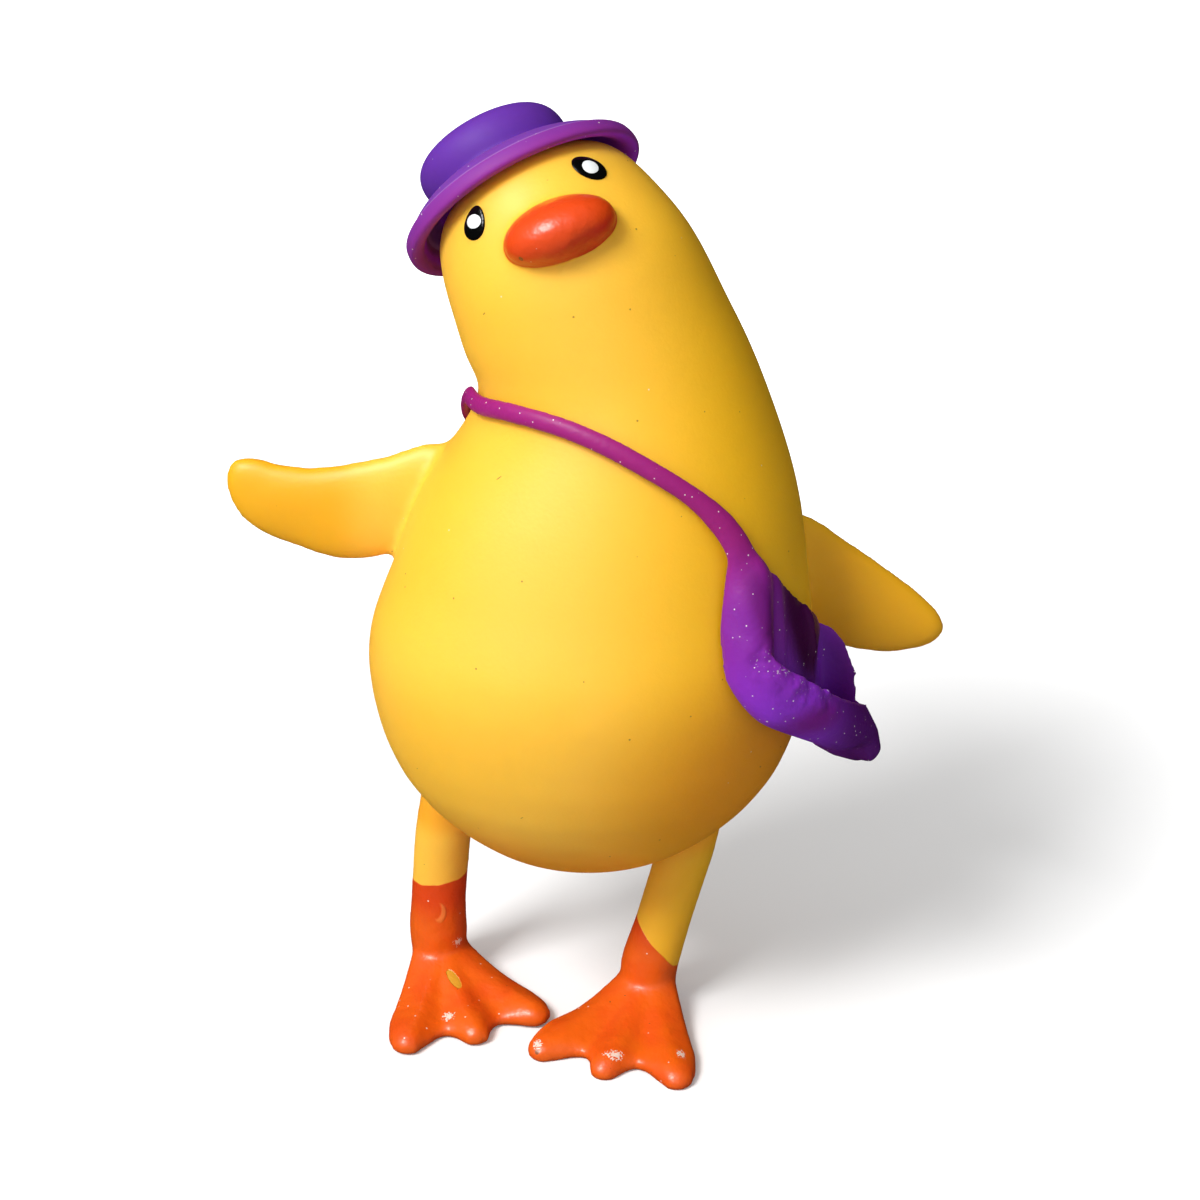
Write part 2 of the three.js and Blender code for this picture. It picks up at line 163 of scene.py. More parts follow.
def finish_piece(piece, slot, material, *nodes):
    """Shades a piece smooth, gives it its material, ties it to the body and hides the CAD nodes it replaces.
    """
    only(piece)
    bpy.ops.object.shade_smooth()
    piece.data.materials.clear()
    piece.data.materials.append(material)
    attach(piece, "root")
    if nodes:
        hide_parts(*nodes)
    piece.data.calc_loop_triangles()
    low, high = [Vector(piece.bound_box[k]) for k in (0, 6)]
    size = [round(v / mm, 1) for v in high - low]
    print(piece.name, len(piece.data.loop_triangles), "triangles, size in mm", size)


# %% [markdown]
# Materials are built from a few ideas that all read Object coordinates, so that a spot stays where it is
# on the rubber from every side. First come the shader itself, and nodes that do one step of arithmetic on
# two sockets or numbers. Light that enters the rubber comes out redder, because red travels furthest in it.

# %% Helpers for materials
scatter_colours = (1.0, 0.5, 0.15)


def new_rubber(name, roughness, subsurface, reach, specular):
    """A Principled material for soft rubber, and its node tree and shader."""
    material = bpy.data.materials.new(name)
    material.use_nodes = True
    tree = material.node_tree
    shader = tree.nodes["Principled BSDF"]
    shader.subsurface_method = "BURLEY"
    shader.inputs["Roughness"].default_value = roughness
    shader.inputs["Subsurface Weight"].default_value = subsurface
    shader.inputs["Subsurface Radius"].default_value = scatter_colours
    shader.inputs["Subsurface Scale"].default_value = reach
    shader.inputs["Specular IOR Level"].default_value = specular
    return material, tree, shader


def add_node(tree, kind, inputs=None, **settings):
    """A node with its settings, and its inputs set to a value or linked from a socket."""
    node = tree.nodes.new(kind)
    for key, value in settings.items():
        setattr(node, key, value)
    for key, value in (inputs or {}).items():
        if isinstance(value, bpy.types.NodeSocket):
            tree.links.new(value, node.inputs[key])
        else:
            node.inputs[key].default_value = value
    return node


def place_of(tree):
    """The socket with the place on the object, in metres."""
    return add_node(tree, "ShaderNodeTexCoord").outputs["Object"]


def split(tree, vector):
    """The X, Y and Z of a vector."""
    return add_node(tree, "ShaderNodeSeparateXYZ", {"Vector": vector}).outputs


def length_of(tree, vector):
    """How long a vector is."""
    return add_node(tree, "ShaderNodeVectorMath", {0: vector}, operation="LENGTH").outputs["Value"]


def maths(tree, operation, first, second=0.0):
    """One step of arithmetic on two sockets or numbers."""
    return add_node(tree, "ShaderNodeMath", {0: first, 1: second}, operation=operation).outputs[0]


def times(tree, first, second):
    """The product of two sockets or numbers."""
    return maths(tree, "MULTIPLY", first, second)


def plus(tree, first, second):
    """The sum of two sockets or numbers."""
    return maths(tree, "ADD", first, second)


def minus(tree, first, second):
    """The difference of two sockets or numbers."""
    return maths(tree, "SUBTRACT", first, second)


def larger(tree, first, second):
    """The larger of two sockets or numbers."""
    return maths(tree, "MAXIMUM", first, second)


def step_up(tree, value, low, high):
    """0 below low, 1 above high and smooth between. With low above high it steps down."""
    inputs = {"Value": value, "From Min": low, "From Max": high}
    return add_node(tree, "ShaderNodeMapRange", inputs, interpolation_type="SMOOTHSTEP").outputs["Result"]


def mix(tree, share, first, second):
    """A colour between two colours or sockets."""
    first, second = [c if isinstance(c, bpy.types.NodeSocket) else (*c, 1) for c in (first, second)]
    inputs = {0: share, 6: first, 7: second}
    return add_node(tree, "ShaderNodeMix", inputs, data_type="RGBA").outputs[2]


# %% [markdown]
# Noise is made once for each grain size, and everything that needs this grain shares it, because each noise
# node costs time. A spot is a stretched ball in space: its mask is 1 inside the ball and falls to 0 at its
# rim, and a little noise makes the rim uneven, as hand-brushed paint is. Specks sit in the cells of a
# Voronoi pattern, and only some of the cells keep theirs.

# %% Noise, spots, specks and relief
noises_made = {}
speck_core = 0.6
pick_step = 0.01


def noise(tree, size, detail=2.0):
    """Soft noise from 0 to 1 with grains of about this size in metres."""
    if (tree, size, detail) not in noises_made:
        inputs = {"Vector": place_of(tree), "Scale": 1 / size, "Detail": detail}
        noises_made[tree, size, detail] = add_node(tree, "ShaderNodeTexNoise", inputs).outputs["Fac"]
    return noises_made[tree, size, detail]


def ball_space(tree, centre, half_sizes, turn=(0, 0, 0)):
    """Places told from the middle of a stretched ball, with its surface at a distance of 1."""
    inputs = {"Vector": place_of(tree), "Location": centre, "Rotation": turn, "Scale": half_sizes}
    return add_node(tree, "ShaderNodeMapping", inputs, vector_type="TEXTURE").outputs[0]


def inside(tree, space, rim, unevenness=0.0, grain=1 * mm):
    """1 inside a stretched ball and 0 outside, with a rim of this softness and unevenness."""
    length = length_of(tree, space)
    if unevenness:
        length = plus(tree, length, times(tree, minus(tree, noise(tree, grain), 0.5), unevenness))
    return step_up(tree, length, 1 + rim, 1 - rim)


def spot(tree, piece, pixel, half_sizes, turn=(0, 0, 0), rim=0.2, unevenness=0.0, grain=0.5 * mm):
    """The mask of a spot on a piece, where the photograph shows it. Its half sizes are in mm."""
    centre, _ = seen_at(piece, *pixel)
    space = ball_space(tree, centre, [size * mm for size in half_sizes], turn)
    return inside(tree, space, rim, unevenness, grain)


def specks(tree, spacing, size, share, seed, stretch=(1, 1, 1), turn=(0, 0, 0)):
    """Scattered specks: one in each cell of this spacing, of which only a share is kept."""
    moved = ball_space(tree, (seed, seed, seed), stretch, turn)
    cells = add_node(tree, "ShaderNodeTexVoronoi", {"Vector": moved, "Scale": 1 / spacing})
    near = step_up(tree, cells.outputs["Distance"], size / spacing, speck_core * size / spacing)
    pick = add_node(tree, "ShaderNodeSeparateColor", {"Color": cells.outputs["Color"]}).outputs["Red"]
    return times(tree, near, step_up(tree, pick, share, share - pick_step))


def bump(tree, shader, height, distance, strength):
    """Fine relief on a surface."""
    inputs = {"Height": height, "Distance": distance, "Strength": strength}
    node = add_node(tree, "ShaderNodeBump", inputs)
    tree.links.new(node.outputs["Normal"], shader.inputs["Normal"])


# %% [markdown]
# The body is one soft moulding without a seam. It could be sculpted from a ball, but the CAD solid already
# has its outline, so a merged copy of that is the start. A voxel remesh turns the copy into an even skin
# of small squares, and a smoothing modifier then melts the facets away. Smoothing also shrinks what is
# thin, so each point gets a weight: full on the trunk, and only a little on the legs, the wings, the beak
# and the feet. The beak is a stretched ball, and its frame tells how far from its middle a point lies.

# %% Where the body's skin melts
leg_top = 23 * mm
belly_start = 31 * mm
ankle_height = 8 * mm
foot_melt = 0.04
leg_melt = 0.08
wing_hold = 0.9
wing_rim = (0.85, 1.15)
wing_balls = [
    (Vector((-31, 5, 71.5)) * mm, Vector((19, 7, 12)) * mm),
    (Vector((31, 7.5, 57)) * mm, Vector((17, 8, 14)) * mm),
]
beak_hold = 0.96
beak_rim = (1.05, 1.5)
beak_seat = Vector((-3.38, -8.83, 108.9)) * mm
beak_facing = Vector((-0.086, -0.767, 0.636)).normalized()
beak_half = Vector((6.5, 3.6, 5.2)) * mm
beak_roll = math.radians(24)
beak_droop = math.radians(25)
beak_across = Vector((0, 0, 1)).cross(beak_facing).normalized()
beak_axes = Matrix((beak_across, beak_facing.cross(beak_across), beak_facing)).transposed().to_4x4()
beak_turn = beak_axes @ Matrix.Rotation(beak_roll, 4, "Z") @ Matrix.Rotation(beak_droop, 4, "X")
beak_frame = (Matrix.Translation(beak_seat) @ beak_turn @ Matrix.Diagonal((*beak_half, 1))).inverted()
print("beak seat in mm", [round(v / mm, 1) for v in beak_seat])


def blend_between(value, low, high):
    """0 below low, 1 above high and straight between."""
    return min(max((value - low) / (high - low), 0), 1)


def melt_weight(point):
    """How strongly a point of the skin is smoothed."""
    trunk = blend_between(point.z, leg_top, belly_start)
    thin = foot_melt + leg_melt * blend_between(point.z, ankle_height / 2, ankle_height * 1.5)
    wing = 0
    for centre, half in wing_balls:
        away = Vector([(point[k] - centre[k]) / half[k] for k in range(3)]).length
        wing = max(wing, 1 - blend_between(away, *wing_rim))
    beak = 1 - blend_between((beak_frame @ point).length, *beak_rim)
    weight = thin + (1 - thin) * trunk
    weight = min(weight, 1 - wing_hold * wing)
    return min(weight, 1 - beak_hold * beak)


def leg_weight(point):
    """1 on the legs between the feet and the belly, and 0 elsewhere."""
    above_foot = blend_between(point.z, ankle_height / 2, ankle_height)
    return above_foot * (1 - blend_between(point.z, leg_top, belly_start))


def weigh(piece, name, weight_at):
    """A vertex group whose weights follow a function of each point's place."""
    group = piece.vertex_groups.new(name=name)
    levels = {}
    for vertex in piece.data.vertices:
        levels.setdefault(round(weight_at(vertex.co), 2), []).append(vertex.index)
    for weight, members in levels.items():
        group.add(members, weight, "REPLACE")


# %% [markdown]
# Before the remesh, a few nudges give the toes, the left-hand wing and the beak's lower edge the small
# bulges of the real moulding. After it, the legs get back the width that the smoothing took from them.

# %% Body
skin_voxel = 0.5 * mm
melt_rounds = 90
leg_padding = 0.3 * mm
body_nudges = [
    ((540, 1014), -0.45, 0.3, 5),
    ((540, 1040), -0.5, -0.4, 5),
    ((600, 1072), -0.4, -0.3, 5),
    ((680, 1078), 0.3, -0.3, 5),
    ((238, 472), 0.1, 0.9, 6),
    ((310, 472), 0.0, -0.6, 7),
    ((345, 546), 0.0, -0.9, 7),
    ((588, 244), -0.2, 0.35, 3),
]

duck = merged_copy("duck_body", "duck_skin")
for pixel, right, up, reach in body_nudges:
    nudge(duck, pixel, right, up, reach)
apply_modifier(duck, "REMESH", mode="VOXEL", voxel_size=skin_voxel)
weigh(duck, "melting", melt_weight)
apply_modifier(duck, "SMOOTH", factor=0.5, iterations=melt_rounds, vertex_group="melting")
weigh(duck, "legs", leg_weight)
apply_modifier(duck, "DISPLACE", mid_level=0.0, strength=leg_padding, vertex_group="legs")
apply_modifier(duck, "SMOOTH", factor=0.5, iterations=2)
duck.vertex_groups.clear()
print("duck_skin", len(duck.data.vertices), "points")

# %% [markdown]
# Both feet were dipped in orange paint, and the dip lines are slanted. The paint could be a second skin
# over the rubber, but it is thinner than a hair, so a mask in the material says where it lies. Each dip
# line is a tilted plane through two points that the photograph shows on that leg, with soft noise to make
# it wander. The beak's paint was brushed on, so its mask is a ball a little wider than the beak itself.

# %% Where the duck is painted
between_legs = -7 * mm
hair = 0.01 * mm
dip_wander = 0.9 * mm
dip_softness = 0.12 * mm
beak_brush = Vector((6.75, 3.58, 5.25)) * mm
beak_paint_rim = 0.012
beak_paint_unevenness = 0.02
duck_finish = {"roughness": 0.5, "subsurface": 0.5, "reach": 3 * mm, "specular": 0.7}

duck_material, tree, shader = new_rubber("duck_rubber", **duck_finish)
position = split(tree, place_of(tree))


def dip_height(first, second, ragged):
    """How high the paint reaches on a leg: a tilted plane through two pixels of the photograph."""
    (low_x, _, low_z), (high_x, _, high_z) = [seen_at(duck, *pixel)[0] for pixel in (first, second)]
    slope = (high_z - low_z) / (high_x - low_x)
    print("dip line from", round(low_z / mm, 1), "to", round(high_z / mm, 1), "mm high")
    return plus(tree, plus(tree, times(tree, position["X"], slope), low_z - slope * low_x), ragged)


ragged = times(tree, minus(tree, noise(tree, 3.5 * mm), 0.5), dip_wander)
dip_right = dip_height((416, 881), (461, 877), ragged)
dip_left = dip_height((640, 925), (668, 962), ragged)
left_side = step_up(tree, position["X"], between_legs - hair, between_legs + hair)
dip_line = plus(tree, dip_right, times(tree, left_side, minus(tree, dip_left, dip_right)))
feet_mask = step_up(tree, minus(tree, position["Z"], dip_line), dip_softness, -dip_softness)
feet_mask = times(tree, feet_mask, step_up(tree, position["Z"], leg_top, leg_top - 1 * mm))
brush_space = ball_space(tree, beak_seat, beak_brush, beak_turn.to_euler())
beak_mask = inside(tree, brush_space, beak_paint_rim, beak_paint_unevenness, 1.5 * mm)
paint_mask = larger(tree, beak_mask, feet_mask)

# %% [markdown]
# The duck's rubber is a warm yellow that lets a little light in, and a single flat yellow would look like
# hard plastic, so its yellow varies in random patches. Shade is also painted into it. The yellow is paler on
# the lit front and deeper on the duck's left, the side away from the lamp. It is more orange low on the
# belly and on its left flank, and darker on both wings. The orange paint is redder in random patches and at
# the ankles, and painted shade makes it redder on the beak's lower side and its left end.

# %% Yellow rubber and orange paint, with painted shade
rubber_yellow = (0.93, 0.5, 0.045)
deep_yellow_and_shade = (0.89, 0.47, 0.003)
flank_shade_orange = (0.86, 0.32, 0.001)
wing_shade_yellow = (0.8, 0.38, 0.002)
paint_orange = (0.76, 0.105, 0.001)
paint_red = (0.62, 0.004, 0.0003)
patch_share = 0.4
low_belly_shade_share = 0.7
paint_patch_share = 0.3
ankle_share = 0.5
beak_slant = 0.45

patches = times(tree, step_up(tree, noise(tree, 25 * mm, 1.0), 0.3, 0.7), patch_share)
# painted shade: the yellow deepens towards the duck's left, the side away from the lamp
shaded_half = step_up(tree, position["X"], -6 * mm, 18 * mm)
yellow = mix(tree, larger(tree, patches, shaded_half), rubber_yellow, deep_yellow_and_shade)
# painted shade: more orange on the shaded left flank and low on the belly
flank_shade = spot(tree, duck, (755, 775), (17, 17, 14), rim=0.7)
low_belly_shade = times(tree, step_up(tree, position["Z"], 40 * mm, 29 * mm), low_belly_shade_share)
low_belly_shade = times(tree, low_belly_shade, step_up(tree, position["Z"], leg_top, 27 * mm))
yellow = mix(tree, larger(tree, flank_shade, low_belly_shade), yellow, flank_shade_orange)
# painted shade: a darker yellow on both wings
sideways = maths(tree, "ABSOLUTE", position["X"])
yellow = mix(tree, step_up(tree, sideways, 25 * mm, 32 * mm), yellow, wing_shade_yellow)

# painted shade: the beak's orange turns red towards its lower side and its left end, away from the lamp
on_beak = split(tree, ball_space(tree, beak_seat, beak_half, beak_turn.to_euler()))
beak_height = minus(tree, on_beak["Y"], times(tree, on_beak["X"], beak_slant))
beak_shade = times(tree, step_up(tree, beak_height, 0.15, -0.9), beak_mask)
ankle_red = times(tree, step_up(tree, position["Z"], 9 * mm, 14 * mm), ankle_share)
paint_patches = times(tree, step_up(tree, noise(tree, 6 * mm), 0.4, 0.75), paint_patch_share)
redder = larger(tree, paint_patches, larger(tree, beak_shade, ankle_red))
orange = mix(tree, redder, paint_orange, paint_red)
colour = mix(tree, paint_mask, yellow, orange)

# %% [markdown]
# The duck has been about. Dark flecks and short threads of lint stick to it, and white dust lies mostly on
# the feet. Hundreds of tiny meshes would slow the scene down, so a Voronoi pattern carries the specks, and
# the lint is the same pattern stretched seven times. A few white spots are large enough to be placed one by
# one: most are grains of dust, but the second and the fourth in the list are painted highlights on the toes.

# %% Dust, lint and two painted highlights
dust_and_glint_white = (0.85, 0.8, 0.7)
dark_fleck = (0.12, 0.06, 0.01)
fleck_share = 0.7
dust_and_glint_share = 0.75
lint_stretch = (1, 1, 7)
lint_turn = (0.4, 0.7, 0.2)
# grains of dust, except the second and the fourth, which are painted highlights on the toes
grains_and_glints = [
    ((615, 1055), 1.0), ((449, 1016), 0.6), ((681, 1054), 0.5), ((537, 1044), 0.45), ((458, 942), 0.5),
]

lint = specks(tree, 2 * mm, 0.1 * mm, share=0.5, seed=0.031, stretch=lint_stretch, turn=lint_turn)
flecks = larger(tree, specks(tree, 3 * mm, 0.15 * mm, share=0.5, seed=0.013), lint)
colour = mix(tree, times(tree, flecks, fleck_share), colour, dark_fleck)
dust_and_glints = times(tree, specks(tree, 1.3 * mm, 0.14 * mm, share=0.3, seed=0.007), feet_mask)
dust_and_glints = larger(tree, dust_and_glints, specks(tree, 3.2 * mm, 0.11 * mm, share=0.4, seed=0.057))
# the listed spots join the dust, two of them as painted highlights
for pixel, wide in grains_and_glints:
    grain = spot(tree, duck, pixel, (wide, 0.6, 0.45), rim=0.1, unevenness=4.5, grain=0.25 * mm)
    dust_and_glints = larger(tree, dust_and_glints, grain)
colour = mix(tree, times(tree, dust_and_glints, dust_and_glint_share), colour, dust_and_glint_white)
print("large grains of dust:", len(grains_and_glints))

# %% [markdown]
# On the duck's right leg a curl of paint has lifted, which is a spot with a second spot taken out of it.
# Its right foot has lost a chip of paint, the beak has a nick, and one toe has a pit.

# %% Wear
chip_yellow = (0.62, 0.3, 0.02)
flake_orange = (0.9, 0.3, 0.06)
flake_share = 0.5
nick_share = 0.75
chip_turn = (0, math.radians(-20), math.radians(25))

lifted = spot(tree, duck, (440, 913), (0.8, 0.8, 1.5))
peeled = spot(tree, duck, (436, 910), (0.75, 1.1, 1.5))
flake = times(tree, lifted, minus(tree, 1.0, peeled))
colour = mix(tree, times(tree, flake, flake_share), colour, flake_orange)
chip = spot(tree, duck, (454, 979), (0.62, 1.9, 1.4), chip_turn, rim=0.08, unevenness=0.3)
colour = mix(tree, chip, colour, chip_yellow)
nick = spot(tree, duck, (521, 259), (0.25, 0.3, 0.35))
pit = spot(tree, duck, (537, 1052), (0.3, 0.4, 0.3))
colour = mix(tree, times(tree, larger(tree, nick, pit), nick_share), colour, dark_fleck)
tree.links.new(colour, shader.inputs["Base Color"])
print("duck_rubber's colour takes", len(tree.nodes), "nodes")

# %% [markdown]
# Paint is glossier than rubber and lets less light in, so both follow the paint's mask. The relief adds the
# brush's marks in the paint to the rubber's own fine grain, and sinks the chip and the nick.

# %% Gloss, softness and relief
rubber_roughness = 0.5
paint_gloss = 0.13
rubber_softness = 0.55
paint_hardness = 0.45
brush_relief = 8.0
chip_depth = 6.0
flake_rise = 5.0

roughness = minus(tree, rubber_roughness, times(tree, paint_mask, paint_gloss))
tree.links.new(roughness, shader.inputs["Roughness"])
softness = minus(tree, rubber_softness, times(tree, paint_mask, paint_hardness))
tree.links.new(softness, shader.inputs["Subsurface Weight"])
brushed = times(tree, noise(tree, 1.6 * mm), times(tree, paint_mask, brush_relief))
relief = plus(tree, noise(tree, 0.5 * mm, 1.0), brushed)
relief = minus(tree, relief, times(tree, larger(tree, chip, nick), chip_depth))
relief = plus(tree, relief, times(tree, flake, flake_rise))
bump(tree, shader, relief, distance=0.03 * mm, strength=0.6)
finish_piece(duck, "duck_rubber", duck_material, "duck_body")

# %% [markdown]
# The eyes are thick drops of black paint with a white dot on each. Colour alone would leave them flat, so
# each is a flattened ball, pressed into the head at the place that the photograph shows. Its lower end is
# drawn out with a taper, because the drops ran a little towards the cheeks.

# %% Eyes
eye_black = (0.002, 0.002, 0.002)
eye_white = (0.82, 0.86, 0.86)
eye_drop_height = 0.34 * mm
dot_height = 0.44 * mm
brush_shade = 0.8


def paint_drop(name, ends, width, taper, height, material):
    """A drop of paint on the head, between two pixels of the photograph, that tapers to its second end."""
    (start, _), (end, _) = [seen_at(duck, *pixel) for pixel in ends]
    middle = [sum(pair) / 2 for pair in zip(*ends)]
    centre, normal = seen_at(duck, *middle)
    along = end - start
    length = along.length
    along = (along - normal * along.dot(normal)).normalized()
    across = normal.cross(along)
    bpy.ops.mesh.primitive_uv_sphere_add(segments=40, ring_count=24, radius=0.5)
    drop = bpy.context.active_object
    drop.name = name
    drop.scale = (length, width, height * 2)
    bpy.ops.object.transform_apply(location=False, rotation=False, scale=True)
    apply_modifier(drop, "SIMPLE_DEFORM", deform_method="TAPER", factor=taper, deform_axis="X")
    turn = Matrix((along, across, normal)).transposed().to_4x4()
    drop.matrix_world = Matrix.Translation(centre) @ turn
    bpy.ops.object.transform_apply(location=True, rotation=True, scale=True)
    finish_piece(drop, "duck_rubber", material)


def eye_paint(name, colour, roughness, specular):
    """Glossy paint with faint brush relief."""
    material, tree, shader = new_rubber(name, roughness, 0.0, mm, specular)
    shade = mix(tree, noise(tree, 0.8 * mm), colour, [c * brush_shade for c in colour])
    tree.links.new(shade, shader.inputs["Base Color"])
    bump(tree, shader, noise(tree, 0.35 * mm), distance=0.06 * mm, strength=0.8)
    return material


black_paint = eye_paint("eye_black", eye_black, roughness=0.2, specular=0.3)
white_paint = eye_paint("eye_white", eye_white, roughness=0.4, specular=0.4)
paint_drop("right_eye", [(477.6, 205.5), (472.2, 240.5)], 3.0 * mm, 0.4, eye_drop_height, black_paint)
paint_drop("left_eye", [(571.5, 161), (606.8, 175)], 3.1 * mm, 0.1, eye_drop_height, black_paint)
paint_drop("right_eye_dot", [(476.2, 211.8), (474.0, 232.0)], 2.45 * mm, 0.1, dot_height, white_paint)
paint_drop("left_eye_dot", [(578.4, 165.4), (600.8, 171.4)], 2.4 * mm, 0.0, dot_height, white_paint)

# %% [markdown]
# The hat is a bowler in one moulding, round about its own axis. A spun outline would give its shape too,
# but leaves a seam to weld. Here it is drawn as a potter would: one ring of points is extruded again and
# again, and each new ring is moved and resized to the next radius and height. It starts in the hollow
# that fits the head, goes out under the brim, round its edge and up the crown, and closes at the top. The
# crown then leans a little to one side of the brim.

# %% Hat
hat_centre = Vector((-6.88, 7.34, 107.6)) * mm
hat_lean = math.radians(33.5)
hat_tilt = math.radians(33)
hat_aside = -0.7 * mm
hat_points = 72
crown_slant = math.tan(math.radians(6))
hat_rings = [
    (3.0, 3.95), (6.4, 3.7), (10.2, 2.9), (12.0, 1.5), (12.9, 0.3), (13.5, -0.15), (14.1, -0.3),
    (14.6, -0.2), (14.85, 0.1), (14.86, 0.7), (14.74, 1.3), (14.66, 1.5), (14.5, 1.64), (14.3, 1.72),
    (13.9, 1.95), (12.7, 3.0), (11.0, 3.9), (9.7, 4.3), (8.95, 4.45), (8.68, 4.65), (8.72, 5.0),
    (8.95, 5.7), (9.1, 6.6), (9.05, 7.7), (8.65, 8.75), (7.7, 9.6), (5.9, 10.05), (2.9, 10.15),
]

first_radius, first_height = hat_rings[0]
bpy.ops.mesh.primitive_circle_add(vertices=hat_points, radius=first_radius * mm, fill_type="TRIFAN")
hat = bpy.context.active_object
hat.name = "bowler_hat"
bpy.ops.object.mode_set(mode="EDIT")
bpy.ops.mesh.select_all(action="SELECT")
bpy.ops.transform.translate(value=(0, 0, first_height * mm))
bpy.ops.mesh.select_all(action="DESELECT")
bpy.ops.mesh.select_mode(type="EDGE")
bpy.ops.mesh.select_non_manifold()
for (radius_before, height_before), (radius, height) in zip(hat_rings, hat_rings[1:]):
    rise = (0, 0, (height - height_before) * mm)
    bpy.ops.mesh.extrude_region_move(TRANSFORM_OT_translate={"value": rise})
    share = radius / radius_before
    bpy.ops.transform.resize(value=(share, share, 1))
bpy.ops.mesh.edge_face_add()
bpy.ops.mesh.poke()
bpy.ops.mesh.select_all(action="SELECT")
bpy.ops.mesh.normals_make_consistent(inside=False)
bpy.ops.object.mode_set(mode="OBJECT")
for vertex in hat.data.vertices:
    vertex.co.x -= crown_slant * vertex.co.z
apply_modifier(hat, "SUBSURF", levels=2, render_levels=2)
hat_turn = Matrix.Rotation(-hat_lean, 4, "Y") @ Matrix.Rotation(-hat_tilt, 4, "X")
hat.matrix_world = Matrix.Translation(hat_centre) @ hat_turn @ Matrix.Translation((hat_aside, 0, 0))
only(hat)
bpy.ops.object.transform_apply(location=True, rotation=True, scale=True)
print("bowler_hat has", len(hat_rings), "rings")

# %% [markdown]
# Violet rubber looks different where it is thin: light comes through it and picks up the yellow behind, so
# the brim's lower edge and the strap turn magenta. The hat's colour therefore follows the height along the
# hat's own axis, and a Mapping node turns the object's coordinates into that axis. A sloping line through
# the middle of the brim parts its upper side from its under side.

# %% Hat rubber
crown_violet = (0.105, 0.021, 0.3)
brim_lilac = (0.17, 0.036, 0.33)
ridge_highlight_lilac = (0.3, 0.11, 0.42)
edge_violet = (0.2, 0.022, 0.27)
edge_magenta = (0.24, 0.022, 0.27)
under_magenta = (0.34, 0.015, 0.7)
brim_slope = -0.72
brim_rise = 10.45 * mm
line_softness = 0.15 * mm
hat_finish = {"roughness": 0.6, "subsurface": 0.2, "reach": 1 * mm, "specular": 0.3}

hat_material, tree, shader = new_rubber("hat_rubber", **hat_finish)
on_hat = ball_space(tree, hat_centre, (1, 1, 1), hat_turn.to_euler())
height = split(tree, on_hat)["Z"]
flat = add_node(tree, "ShaderNodeVectorMath", {0: on_hat, 1: (1, 1, 0)}, operation="MULTIPLY").outputs[0]
radius = length_of(tree, flat)
colour = mix(tree, step_up(tree, height, 3.4 * mm, 4.8 * mm), brim_lilac, crown_violet)
# painted highlight: a thin pale line along the ridge of the brim's edge
colour = mix(tree, step_up(tree, height, 2.1 * mm, 1.7 * mm), colour, ridge_highlight_lilac)
colour = mix(tree, step_up(tree, height, 1.62 * mm, 1.45 * mm), colour, edge_violet)
colour = mix(tree, step_up(tree, height, 1.2 * mm, -0.1 * mm), colour, edge_magenta)
brim_middle = plus(tree, times(tree, radius, brim_slope), brim_rise)
under = step_up(tree, minus(tree, height, brim_middle), line_softness, -line_softness)
under = times(tree, under, step_up(tree, radius, 14 * mm, 13.5 * mm))
under = times(tree, under, step_up(tree, height, 5 * mm, 4.5 * mm))
colour = mix(tree, under, colour, under_magenta)
fine_dust = specks(tree, 1.1 * mm, 0.11 * mm, share=0.4, seed=0.017)
coarse_dust = specks(tree, 3 * mm, 0.16 * mm, share=0.2, seed=0.041)
colour = mix(tree, larger(tree, fine_dust, coarse_dust), colour, dust_and_glint_white)
tree.links.new(colour, shader.inputs["Base Color"])
bump(tree, shader, noise(tree, 0.6 * mm, 1.0), distance=0.03 * mm, strength=0.6)
finish_piece(hat, "hat_rubber", hat_material, "hat")

# %% [markdown]
# The bag and its strap were moulded as one loop. A strap drawn on a curve would meet the pouch in a joint
# that the real one lacks, and the CAD solid has the pocket and the ribs already. So a merged copy of it is
# remeshed finely and smoothed until it looks poured and not cut, most of all where strap and bag meet. The
# bag's thick lip gets soft lumps, and a few nudges bring its outline and the pocket's far wall to where
# the photograph shows them.

# %% Shoulder bag
bag_voxel = 0.24 * mm
joint_reach = 7 * mm
joint_rounds = 90
bag_rounds = 16
lip_reach = 1.7 * mm
lump_size = 2 * mm
lump_height = 1.5 * mm
lip_pixels = [(768, 660), (785, 669), (805, 686), (828, 692)]
bag_nudges = [
    ((850, 755), -0.2, 0.9, 5),
    ((872, 752), 0.1, -0.8, 3),
    ((813, 622), 0.5, 0.3, 5),
    ((833, 645), -0.8, 1.8, 5.5),
    ((849, 690), 0.35, 0.1, 3.5),
]


def joint_weight(point):
    """1 where the strap meets the bag, and 0 far from there."""
    return 1 - blend_between((point - bag_joint).length, joint_reach / 2, joint_reach)


def lip_weight(point):
    """1 on the bag's lip, and less with the distance from it."""
    return max(1 - (point - stop).length / (2 * lip_reach) for stop in bag_lip)


bag = merged_copy("shoulder_bag", "satchel")
apply_modifier(bag, "REMESH", mode="VOXEL", voxel_size=bag_voxel)
bag_joint = seen_at(bag, 745, 575)[0]
bag_lip = [seen_at(bag, *pixel)[0] for pixel in lip_pixels]
weigh(bag, "joint", joint_weight)
weigh(bag, "lip", lip_weight)
lumps = bpy.data.textures.new("lumps", "CLOUDS")
lumps.noise_scale = lump_size
lumpy = {"texture": lumps, "texture_coords": "LOCAL", "strength": lump_height, "vertex_group": "lip"}
apply_modifier(bag, "SMOOTH", factor=0.5, iterations=joint_rounds, vertex_group="joint")
apply_modifier(bag, "SMOOTH", factor=0.5, iterations=bag_rounds)
apply_modifier(bag, "DISPLACE", **lumpy)
apply_modifier(bag, "SMOOTH", factor=0.5, iterations=3)
bag.vertex_groups.clear()
for pixel, right, up, reach in bag_nudges:
    nudge(bag, pixel, right, up, reach)
print("satchel", len(bag.data.vertices), "points")
